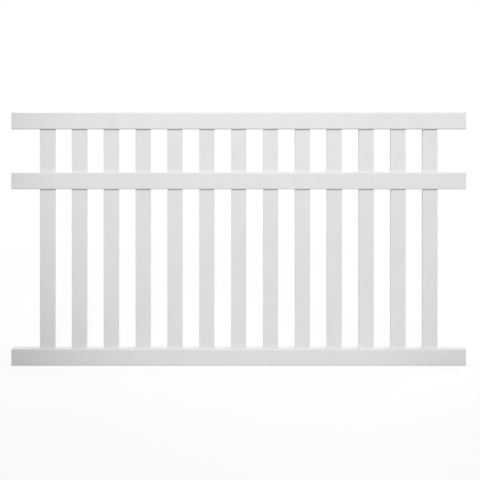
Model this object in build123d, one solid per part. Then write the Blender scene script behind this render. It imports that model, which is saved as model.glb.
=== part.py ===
from build123d import *
import os

# A vinyl pool fence panel: three hollow rails carry a row of flat hollow pickets.
# The pickets stand in a steel channel inside the bottom rail, pass through the middle rail
# and end inside the top rail. Each rail is routed with one slot for each picket.
# Sizes are in millimetres. X runs along the rails, Y through the panel and Z up.
# The origin is the middle of the bottom rail's underside. The panel's front faces -Y.

# Rail extrusion, the same for all three rails
rail_length = 2413.0
rail_height = 88.9
rail_depth = 50.8
rail_wall = 2.5
rail_corner_radius = 5.0

# Bare rail from each end to the first picket, part of it hidden in the post
rail_end_margin = 146.5

# Two pairs of ribs run inside each rail and guide the picket faces
rib_thickness = 1.8
rib_offset = 15.0
rib_clearance = 0.6

# Open height between the rails
lower_clear_height = 848.0
upper_clear_height = 230.0

# Pickets
picket_count = 13
picket_width = 80.0
picket_depth = 22.2
picket_wall = 1.5
picket_corner_radius = 3.0
slot_clearance = 0.5
picket_expansion_gap = 4.0

# Steel channel that stiffens the bottom rail
channel_thickness = 1.5
channel_bend_radius = 2.0
channel_clearance = 0.3
channel_setback = 12.0

# Drain holes through the bottom rail and its channel, in one bay near each end
drain_diameter = 6.4
drain_bay = 2

# Heights of the rails' undersides
bottom_rail_z = 0.0
middle_rail_z = bottom_rail_z + rail_height + lower_clear_height
top_rail_z = middle_rail_z + rail_height + upper_clear_height

# Places of the pickets, spread evenly between the bare ends of the rails
first_picket_x = -rail_length / 2 + rail_end_margin + picket_width / 2
picket_pitch = -2 * first_picket_x / (picket_count - 1)
picket_places = [first_picket_x + i * picket_pitch for i in range(picket_count)]
bay_places = [x + picket_pitch / 2 for x in picket_places[:-1]]
drain_places = [bay_places[drain_bay], bay_places[-1 - drain_bay]]

# Picket ends: on the channel's web below, just short of the top rail's upper wall above
picket_bottom_z = bottom_rail_z + rail_wall + channel_thickness
picket_top_z = top_rail_z + rail_height - rail_wall - picket_expansion_gap

# Inside of the rail: its walls' inner faces, and the ribs that reach from them to the pickets
rail_inner_half_depth = rail_depth / 2 - rail_wall
rib_root_y = rail_inner_half_depth + rail_wall / 2
rib_tip_y = picket_depth / 2 + rib_clearance
rib_length = rib_root_y - rib_tip_y
lower_rib_underside_z = bottom_rail_z + rail_height / 2 - rib_offset - rib_thickness / 2


def hollow_section(width, height, wall, corner_radius):
    """An extruded tube's section, rounded outside and square inside."""
    outline = RectangleRounded(width, height, corner_radius)
    return outline - Rectangle(width - 2 * wall, height - 2 * wall)


def rail_section():
    """The rail's tube section with its two pairs of guide ribs."""
    section = hollow_section(rail_depth, rail_height, rail_wall, rail_corner_radius)
    rib = Rectangle(rib_length, rib_thickness)
    for side in (-1, 1):
        for level in (-rib_offset, rib_offset):
            section += Pos(side * (rib_tip_y + rib_length / 2), level) * rib
    return section


def slot_cutter(wall_middle_z):
    """One rounded slot for each picket, through the wall at a given height."""
    slot = RectangleRounded(
        picket_width + 2 * slot_clearance,
        picket_depth + 2 * slot_clearance,
        picket_corner_radius + slot_clearance,
    )
    cutter = extrude(slot, amount=rail_wall, both=True)
    return [Pos(x, 0, wall_middle_z) * cutter for x in picket_places]


def drain_cutter():
    """Round holes down through the bottom rail's lower wall and the channel's web."""
    hole = extrude(Circle(drain_diameter / 2), amount=2 * (rail_wall + channel_thickness), both=True)
    return [Pos(x, 0, bottom_rail_z) * hole for x in drain_places]


def make_rail(underside_z, slotted_below, slotted_above):
    """A rail at its height, with its lower wall, its upper wall or both routed for the pickets."""
    profile = Plane.YZ * rail_section()
    rail = extrude(profile, amount=rail_length / 2, both=True)
    rail = Pos(0, 0, underside_z + rail_height / 2) * rail
    if slotted_below:
        rail -= slot_cutter(underside_z + rail_wall / 2)
    if slotted_above:
        rail -= slot_cutter(underside_z + rail_height - rail_wall / 2)
    return rail


def make_picket(x):
    """A flat hollow picket, open at both ends."""
    section = hollow_section(picket_width, picket_depth, picket_wall, picket_corner_radius)
    return Pos(x, 0, picket_bottom_z) * extrude(section, amount=picket_top_z - picket_bottom_z)


def make_channel():
    """The bent steel channel that lies in the bottom rail, held down by the lower ribs."""
    width = 2 * (rail_inner_half_depth - channel_clearance)
    underside_z = bottom_rail_z + rail_wall
    leg_height = lower_rib_underside_z - channel_clearance - underside_z
    standing = (Align.CENTER, Align.MIN)
    outer = Rectangle(width, leg_height, align=standing)
    outer = fillet(outer.vertices().group_by(Axis.Y)[0], channel_bend_radius + channel_thickness)
    hollow = Rectangle(width - 2 * channel_thickness, leg_height, align=standing)
    hollow = fillet(hollow.vertices().group_by(Axis.Y)[0], channel_bend_radius)
    profile = Plane.YZ * (outer - Pos(0, channel_thickness) * hollow)
    channel = extrude(profile, amount=rail_length / 2 - channel_setback, both=True)
    return Pos(0, 0, underside_z) * channel - drain_cutter()


parts = {
    "top_rail": make_rail(top_rail_z, slotted_below=True, slotted_above=False),
    "middle_rail": make_rail(middle_rail_z, slotted_below=True, slotted_above=True),
    "bottom_rail": make_rail(bottom_rail_z, slotted_below=False, slotted_above=True) - drain_cutter(),
    "bottom_rail_channel": make_channel(),
}
for number, x in enumerate(picket_places, start=1):
    parts[f"picket_{number:02d}"] = make_picket(x)

os.makedirs("parts", exist_ok=True)
for name, shape in parts.items():
    export_step(shape, f"parts/{name}.step")
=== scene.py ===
import math
import bpy
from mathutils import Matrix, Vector


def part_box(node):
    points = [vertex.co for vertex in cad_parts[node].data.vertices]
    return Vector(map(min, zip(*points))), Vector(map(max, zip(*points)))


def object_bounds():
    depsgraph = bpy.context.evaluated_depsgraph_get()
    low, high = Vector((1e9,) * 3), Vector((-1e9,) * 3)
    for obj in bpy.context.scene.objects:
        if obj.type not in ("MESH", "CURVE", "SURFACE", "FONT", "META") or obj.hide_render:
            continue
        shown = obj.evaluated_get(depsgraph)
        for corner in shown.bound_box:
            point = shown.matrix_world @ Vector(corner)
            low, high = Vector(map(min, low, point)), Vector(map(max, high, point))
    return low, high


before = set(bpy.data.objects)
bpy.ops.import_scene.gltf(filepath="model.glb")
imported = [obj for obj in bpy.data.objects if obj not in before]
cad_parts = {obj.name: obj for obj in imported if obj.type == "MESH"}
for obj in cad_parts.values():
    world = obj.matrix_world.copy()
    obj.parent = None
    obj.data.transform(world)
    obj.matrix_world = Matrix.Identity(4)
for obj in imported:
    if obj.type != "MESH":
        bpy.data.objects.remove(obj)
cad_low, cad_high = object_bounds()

# A white vinyl fence panel on a pale floor. Lengths are in metres. X runs along the rails,
# the front faces -Y and Z is up. All pieces are the panel's own. This script gives them
# their finish and sets the floor, the light and the camera.

rails = ("top_rail", "middle_rail", "bottom_rail")
pickets = sorted(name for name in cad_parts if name.startswith("picket_"))
channel = "bottom_rail_channel"
rail_low, rail_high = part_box("bottom_rail")
rail_length = rail_high.x - rail_low.x

# Vinyl: the greys that its mottle runs between, its roughness and its index of refraction
vinyl_dark = 0.775
vinyl_light = 0.80
vinyl_roughness_low = 0.34
vinyl_roughness_high = 0.46
vinyl_ior = 1.53

# Zinc coat of the steel: the greys and the roughness of its spangle
steel_dark = 0.42
steel_light = 0.62
steel_roughness_low = 0.30
steel_roughness_high = 0.52
spangle_scale = 95.0
steel_grain_scale = 300.0

# Depth of the fine relief, and how strongly it shows on each material
relief_depth = 0.0001
vinyl_relief = 0.5
steel_relief = 0.15

# Die lines: their fineness across the extrusion, how far they are drawn out along it,
# and how much the fine ones add to the broad ones
fine_line_scale = 420.0
broad_line_scale = 60.0
line_stretch = 0.004
fine_line_share = 0.35

# Mottle: the scales of its slow changes and of its patches, and how much the die lines dull it
slow_mottle_scale = 2.4
patch_mottle_scale = 11.0
mottle_share = 0.5
streak_share = 0.35

# Nearly all of a noise's values lie between these two, or up to the third with streaks added
noise_low = 0.35
noise_high = 0.65
streaked_high = 0.95

# Ribs inside a rail show through its faces as faint sink lines, this far from its middle
rib_offset = 0.015
sink_line_width = 0.0035
sink_line_height = 2.0

# Saw-cut rail ends: how far in the cut is told from the faces, its grooves, and its added roughness
cut_end_margin = 0.0003
groove_scale = 900.0
groove_height = 3.0
cut_end_dullness = 0.25


def make_group(name, inputs, outputs):
    """An empty shader node group with named inputs and outputs, and its two end nodes."""
    group = bpy.data.node_groups.new(name, "ShaderNodeTree")
    for socket_name, kind, value in inputs:
        socket = group.interface.new_socket(socket_name, in_out="INPUT", socket_type=kind)
        if value is not None:
            socket.default_value = value
    for socket_name in outputs:
        group.interface.new_socket(socket_name, in_out="OUTPUT", socket_type="NodeSocketFloat")
    return group, group.nodes.new("NodeGroupInput"), group.nodes.new("NodeGroupOutput")


def place_group(tree, group, **values):
    """Puts a node group into a material, with its own values or links."""
    node = tree.nodes.new("ShaderNodeGroup")
    node.node_tree = group
    for name, value in values.items():
        socket = node.inputs[name.capitalize()]
        if isinstance(value, bpy.types.NodeSocket):
            tree.links.new(value, socket)
        else:
            socket.default_value = value
    return node


def math_node(tree, operation, first, second=None, third=None, clamp=False):
    """A Math node. Each operand is a number or a socket. Returns its output socket."""
    node = tree.nodes.new("ShaderNodeMath")
    node.operation = operation
    node.use_clamp = clamp
    for place, operand in enumerate((first, second, third)):
        if operand is None:
            continue
        if isinstance(operand, (int, float)):
            node.inputs[place].default_value = operand
        else:
            tree.links.new(operand, node.inputs[place])
    return node.outputs[0]


def map_range(tree, value, low, high, to_low, to_high, smooth=False):
    """A Map Range node from low..high to to_low..to_high. Returns its output socket."""
    node = tree.nodes.new("ShaderNodeMapRange")
    node.interpolation_type = "SMOOTHSTEP" if smooth else "LINEAR"
    tree.links.new(value, node.inputs["Value"])
    node.inputs["From Min"].default_value = low
    node.inputs["From Max"].default_value = high
    node.inputs["To Min"].default_value = to_low
    node.inputs["To Max"].default_value = to_high
    return node.outputs["Result"]


def noise(tree, vector, scale, detail, roughness=0.5):
    """A three-dimensional noise texture. Returns its value socket."""
    node = tree.nodes.new("ShaderNodeTexNoise")
    tree.links.new(vector, node.inputs["Vector"])
    node.inputs["Scale"].default_value = scale
    node.inputs["Detail"].default_value = detail
    node.inputs["Roughness"].default_value = roughness
    return node.outputs["Fac"]


def axis_value(tree, vector, axis):
    """One coordinate of a vector, named X, Y or Z."""
    split = tree.nodes.new("ShaderNodeSeparateXYZ")
    tree.links.new(vector, split.inputs[0])
    return split.outputs[axis]


def grey_mix(tree, factor, low, high):
    """A colour between two greys, from a mask."""
    mix = tree.nodes.new("ShaderNodeMix")
    mix.data_type = "RGBA"
    tree.links.new(factor, mix.inputs["Factor"])
    mix.inputs["A"].default_value = (low, low, low, 1.0)
    mix.inputs["B"].default_value = (high, high, high, 1.0)
    return mix.outputs["Result"]


def die_lines_group():
    """Fine lines that the die leaves along an extrusion: a height, and a mask of duller streaks."""
    inputs = (
        ("Vector", "NodeSocketVector", None),
        ("Stretch", "NodeSocketVector", (1.0, 1.0, 1.0)),
    )
    group, start, end = make_group("die lines", inputs, ("Height", "Streaks"))
    drawn_out = group.nodes.new("ShaderNodeVectorMath")
    drawn_out.operation = "MULTIPLY"
    group.links.new(start.outputs["Vector"], drawn_out.inputs[0])
    group.links.new(start.outputs["Stretch"], drawn_out.inputs[1])
    fine = noise(group, drawn_out.outputs[0], fine_line_scale, detail=3.0, roughness=0.6)
    broad = noise(group, drawn_out.outputs[0], broad_line_scale, detail=2.0)
    height = math_node(group, "MULTIPLY_ADD", fine, fine_line_share, broad)
    streaks = map_range(group, broad, noise_low, noise_high, 0.0, 1.0)
    group.links.new(height, end.inputs["Height"])
    group.links.new(streaks, end.inputs["Streaks"])
    return group


def mottle_group():
    """Slow changes over a face: a mask for its shade, and one for its roughness."""
    inputs = (
        ("Vector", "NodeSocketVector", None),
        ("Streaks", "NodeSocketFloat", 0.0),
    )
    group, start, end = make_group("mottle", inputs, ("Shade", "Dullness"))
    slow = noise(group, start.outputs["Vector"], slow_mottle_scale, detail=2.0)
    patches = noise(group, start.outputs["Vector"], patch_mottle_scale, detail=3.0)
    slow_part = math_node(group, "MULTIPLY", slow, 1.0 - mottle_share)
    mixed = math_node(group, "MULTIPLY_ADD", patches, mottle_share, slow_part)
    shade = map_range(group, mixed, noise_low, noise_high, 0.0, 1.0)
    streaked = math_node(group, "MULTIPLY_ADD", start.outputs["Streaks"], streak_share, mixed)
    dullness = map_range(group, streaked, noise_low, streaked_high, 0.0, 1.0)
    group.links.new(shade, end.inputs["Shade"])
    group.links.new(dullness, end.inputs["Dullness"])
    return group


def sink_lines_group():
    """Shallow lines at equal heights above and below the middle of a rail."""
    inputs = (
        ("Vector", "NodeSocketVector", None),
        ("Middle", "NodeSocketFloat", 0.0),
    )
    group, start, end = make_group("rib lines", inputs, ("Height",))
    z = axis_value(group, start.outputs["Vector"], "Z")
    from_middle = math_node(group, "ABSOLUTE", math_node(group, "SUBTRACT", z, start.outputs["Middle"]))
    from_rib = math_node(group, "ABSOLUTE", math_node(group, "SUBTRACT", from_middle, rib_offset))
    height = map_range(group, from_rib, 0.0, sink_line_width, 0.0, 1.0, smooth=True)
    group.links.new(height, end.inputs["Height"])
    return group


def cut_end_group():
    """A mask for the saw-cut ends of a rail, and the fine grooves of the saw across them."""
    inputs = (("Vector", "NodeSocketVector", None),)
    group, start, end = make_group("cut end", inputs, ("Mask", "Grooves"))
    x = axis_value(group, start.outputs["Vector"], "X")
    from_centre = math_node(group, "ABSOLUTE", x)
    mask = math_node(group, "GREATER_THAN", from_centre, rail_length / 2 - cut_end_margin)
    grooves = noise(group, start.outputs["Vector"], groove_scale, detail=2.0)
    group.links.new(mask, end.inputs["Mask"])
    group.links.new(math_node(group, "MULTIPLY", grooves, mask), end.inputs["Grooves"])
    return group


die_lines = die_lines_group()
mottle = mottle_group()
sink_lines = sink_lines_group()
cut_end = cut_end_group()


def new_material(name):
    """A new material with its tree, its shader and its object coordinates."""
    material = bpy.data.materials.new(name)
    material.use_nodes = True
    tree = material.node_tree
    shader = tree.nodes["Principled BSDF"]
    coordinates = tree.nodes.new("ShaderNodeTexCoord").outputs["Object"]
    return material, tree, shader, coordinates


def add_bump(tree, shader, height, strength):
    """Feeds a height to the shader's normal."""
    bump = tree.nodes.new("ShaderNodeBump")
    bump.inputs["Strength"].default_value = strength
    bump.inputs["Distance"].default_value = relief_depth
    tree.links.new(height, bump.inputs["Height"])
    tree.links.new(bump.outputs["Normal"], shader.inputs["Normal"])


def vinyl_base(name, stretch):
    """White satin vinyl with die lines along the extrusion and a slow mottle in shade and roughness."""
    material, tree, shader, coordinates = new_material(name)
    shader.inputs["IOR"].default_value = vinyl_ior
    lines = place_group(tree, die_lines, vector=coordinates, stretch=stretch)
    patches = place_group(tree, mottle, vector=coordinates, streaks=lines.outputs["Streaks"])
    colour = grey_mix(tree, patches.outputs["Shade"], vinyl_dark, vinyl_light)
    tree.links.new(colour, shader.inputs["Base Color"])
    dullness = patches.outputs["Dullness"]
    roughness = map_range(tree, dullness, 0.0, 1.0, vinyl_roughness_low, vinyl_roughness_high)
    return material, tree, shader, coordinates, lines.outputs["Height"], roughness


def rail_vinyl(rail_name):
    """Vinyl of one rail: lines along X, sink lines over its ribs, and dull saw-cut ends."""
    material_name = rail_name.replace("_", " ") + " vinyl"
    along_x = (line_stretch, 1.0, 1.0)
    material, tree, shader, coordinates, height, roughness = vinyl_base(material_name, along_x)
    low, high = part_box(rail_name)
    sinks = place_group(tree, sink_lines, vector=coordinates, middle=(low.z + high.z) / 2)
    ends = place_group(tree, cut_end, vector=coordinates)
    roughness = math_node(tree, "MULTIPLY_ADD", ends.outputs["Mask"], cut_end_dullness, roughness)
    tree.links.new(roughness, shader.inputs["Roughness"])
    height = math_node(tree, "MULTIPLY_ADD", sinks.outputs["Height"], sink_line_height, height)
    height = math_node(tree, "MULTIPLY_ADD", ends.outputs["Grooves"], groove_height, height)
    add_bump(tree, shader, height, vinyl_relief)
    return material


def picket_vinyl():
    """Vinyl of the pickets: lines along Z."""
    along_z = (1.0, 1.0, line_stretch)
    material, tree, shader, coordinates, height, roughness = vinyl_base("picket vinyl", along_z)
    tree.links.new(roughness, shader.inputs["Roughness"])
    add_bump(tree, shader, height, vinyl_relief)
    return material


def galvanised_steel():
    """Zinc-coated sheet steel with its spangle."""
    material, tree, shader, coordinates = new_material("galvanised steel")
    shader.inputs["Metallic"].default_value = 1.0
    cells = tree.nodes.new("ShaderNodeTexVoronoi")
    cells.inputs["Scale"].default_value = spangle_scale
    tree.links.new(coordinates, cells.inputs["Vector"])
    split = tree.nodes.new("ShaderNodeSeparateColor")
    tree.links.new(cells.outputs["Color"], split.inputs[0])
    spangle = split.outputs[0]
    tree.links.new(grey_mix(tree, spangle, steel_dark, steel_light), shader.inputs["Base Color"])
    roughness = map_range(tree, spangle, 0.0, 1.0, steel_roughness_low, steel_roughness_high)
    tree.links.new(roughness, shader.inputs["Roughness"])
    add_bump(tree, shader, noise(tree, coordinates, steel_grain_scale, detail=2.0), steel_relief)
    return material


def dress(node_name, material):
    """Gives a node its material in every slot."""
    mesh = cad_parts[node_name].data
    mesh.materials.clear()
    mesh.materials.append(material)


for name in rails:
    dress(name, rail_vinyl(name))
picket_finish = picket_vinyl()
for name in pickets:
    dress(name, picket_finish)
dress(channel, galvanised_steel())

# The room's soft light on the panel. The camera sees the room as white.
room_light = 0.56

# The floor, plain and pale. Soft light sees it as a grey. The camera sees mostly plain white,
# with the panel's faint soft shadow on it, and further off it turns as white as the room.
floor_size = 60.0
floor_gap = 0.0005
floor_bounce_grey = 0.45
floor_white_share = 0.83
shadow_reach = 1.6
white_reach = 5.0


def seen_directly(tree):
    """1 for what the camera sees, straight or in a glossy or clear surface, and 0 for soft light."""
    path = tree.nodes.new("ShaderNodeLightPath")
    straight = math_node(tree, "ADD", path.outputs["Is Camera Ray"], path.outputs["Is Glossy Ray"])
    return math_node(tree, "ADD", straight, path.outputs["Is Transmission Ray"], clamp=True)


def floor_finish():
    """Matt floor that the camera sees as nearly plain white."""
    material = bpy.data.materials.new("pale floor")
    material.use_nodes = True
    tree = material.node_tree
    tree.nodes.remove(tree.nodes["Principled BSDF"])
    seen = seen_directly(tree)
    matt = tree.nodes.new("ShaderNodeBsdfDiffuse")
    tree.links.new(grey_mix(tree, seen, floor_bounce_grey, 1.0), matt.inputs["Color"])
    plain_white = tree.nodes.new("ShaderNodeEmission")
    distance = tree.nodes.new("ShaderNodeVectorMath")
    distance.operation = "LENGTH"
    coordinates = tree.nodes.new("ShaderNodeTexCoord").outputs["Object"]
    tree.links.new(coordinates, distance.inputs[0])
    away = distance.outputs["Value"]
    white = map_range(tree, away, shadow_reach, white_reach, floor_white_share, 1.0)
    blend = tree.nodes.new("ShaderNodeMixShader")
    tree.links.new(math_node(tree, "MULTIPLY", seen, white), blend.inputs[0])
    tree.links.new(matt.outputs[0], blend.inputs[1])
    tree.links.new(plain_white.outputs[0], blend.inputs[2])
    tree.links.new(blend.outputs[0], tree.nodes["Material Output"].inputs["Surface"])
    return material


def white_room():
    """A world that the camera sees as white and that lights the panel at the room's level."""
    world = bpy.data.worlds.new("studio")
    world.use_nodes = True
    tree = world.node_tree
    background = tree.nodes["Background"]
    background.inputs["Color"].default_value = (1.0, 1.0, 1.0, 1.0)
    strength = map_range(tree, seen_directly(tree), 0.0, 1.0, room_light, 1.0)
    tree.links.new(strength, background.inputs["Strength"])
    return world


bpy.ops.object.select_all(action="DESELECT")
bpy.ops.mesh.primitive_plane_add(size=floor_size, location=(0, 0, cad_low.z - floor_gap))
floor = bpy.context.object
floor.name = "floor"
floor.data.materials.append(floor_finish())
bpy.context.scene.world = white_room()


def add_lamp(name, kind, place, aim, power):
    """A lamp that stands at one point and looks towards another, hidden from the camera."""
    data = bpy.data.lights.new(name, kind)
    data.energy = power
    lamp = bpy.data.objects.new(name, data)
    lamp.location = place
    lamp.rotation_euler = (Vector(aim) - Vector(place)).to_track_quat("-Z", "Y").to_euler()
    lamp.visible_camera = False
    bpy.context.scene.collection.objects.link(lamp)
    return data


def soft_lamp(name, place, aim, side, power):
    """A square soft lamp."""
    data = add_lamp(name, "AREA", place, aim, power)
    data.shape = "SQUARE"
    data.size = side


def soft_spot(name, place, aim, angle, fade, radius, power):
    """A round soft spot lamp whose light fades towards the rim of its cone."""
    data = add_lamp(name, "SPOT", place, aim, power)
    data.spot_size = math.radians(angle)
    data.spot_blend = fade
    data.shadow_soft_size = radius


# A key light from the front, about 25 degrees up, and two softer ones behind
soft_spot(
    "key spot", place=(0.3, -6.5, 4.2), aim=(0.188, 0, 1.307),
    angle=31.1, fade=0.64, radius=0.3, power=1130.0,
)
soft_lamp("back lamp", place=(3.6, 2.2, 1.8), aim=(-0.2, 0, 0.7), side=1.6, power=70.0)
soft_lamp("high back lamp", place=(-2.0, 2.6, 3.6), aim=(-0.4, 0, 0.6), side=1.6, power=40.0)

# The camera: level, in front of the panel and a little below its top, shifted down to frame it.
# The pixels are those of the rails' ends, of the panel's foot and of the eye's height.
frame_pixels = 480
rails_left_pixel = 11.3
rails_right_pixel = 466.1
foot_pixel = 365.9
horizon_pixel = 144.0
camera_distance = 3.6
sensor_width = 36.0

metres_per_pixel = rail_length / (rails_right_pixel - rails_left_pixel)
frame_middle = frame_pixels / 2
rails_middle_pixel = (rails_left_pixel + rails_right_pixel) / 2
camera_x = (frame_middle - rails_middle_pixel) * metres_per_pixel
camera_y = cad_low.y - camera_distance
camera_z = cad_low.z + (foot_pixel - horizon_pixel) * metres_per_pixel

camera_data = bpy.data.cameras.new("camera")
camera_data.sensor_width = sensor_width
camera_data.lens = sensor_width * camera_distance / (frame_pixels * metres_per_pixel)
camera_data.shift_y = (horizon_pixel - frame_middle) / frame_pixels
camera = bpy.data.objects.new("camera", camera_data)
camera.location = (camera_x, camera_y, camera_z)
camera.rotation_euler = (math.radians(90), 0, 0)
bpy.context.scene.collection.objects.link(camera)
bpy.context.scene.camera = camera
bpy.context.scene.view_settings.view_transform = "Standard"
